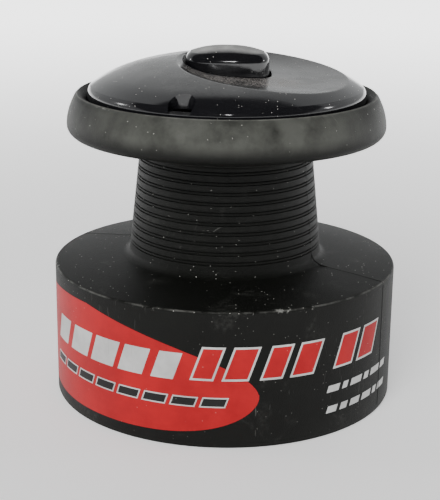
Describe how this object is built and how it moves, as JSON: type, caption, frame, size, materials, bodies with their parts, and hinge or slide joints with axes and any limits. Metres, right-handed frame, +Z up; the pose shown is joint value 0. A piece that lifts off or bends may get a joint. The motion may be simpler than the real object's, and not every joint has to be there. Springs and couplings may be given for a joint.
{
  "type": "fishing line spool",
  "caption": "Fishing line spool with a broad skirt, a ribbed tapering arbor, a rounded front flange and a domed cap with a push-button release.",
  "frame": {"origin": "centre of the skirt's lower rim, where the spool stands", "axes": "+Z up the spindle towards the release button; +X along the button's long side; -Y towards the edge notch in the cap"},
  "size_m": [0.056, 0.056, 0.0567],
  "materials": {
    "body_plastic": "matte charcoal moulding, lightly worn at the edges",
    "gloss_black": "glossy black, lightly dusted",
    "spring_steel": "drawn and stamped spring steel",
    "acetal": "natural acetal, satin",
    "brass": "turned",
    "plated_screw": "plated"
  },
  "bodies": {
    "spool": {"spool_body": "body_plastic", "front_cap": "gloss_black", "button_spring": "spring_steel", "latch_spring": "spring_steel", "latch_cover": "acetal", "front_bush": "brass", "rear_bush": "brass", "click_gear": "acetal", "cover_screw_1": "plated_screw", "cover_screw_2": "plated_screw", "cover_screw_3": "plated_screw", "cover_screw_4": "plated_screw", "cap_screw_1": "plated_screw", "cap_screw_2": "plated_screw", "cap_screw_3": "plated_screw", "cap_screw_4": "plated_screw", "gear_screw_1": "plated_screw", "gear_screw_2": "plated_screw", "gear_screw_3": "plated_screw"},
    "button": {"release_button": "gloss_black"},
    "latch": {"latch_plate": "spring_steel"}
  },
  "joints": [
    {"name": "button_press", "type": "slide", "parent": "spool", "child": "button", "axis": [0, 0, -1], "range_m": [0, 0.002], "stiffness_N_per_m": 600, "springref_m": -0.001, "deforming": ["button_spring"]},
    {"name": "latch_slide", "type": "slide", "parent": "spool", "child": "latch", "axis": [1, 0, 0], "range_m": [0, 0.0012], "deforming": ["latch_spring"]}
  ],
  "couplings": [
    {"joint": "latch_slide", "follows": "button_press", "ratio": 0.6}
  ]
}
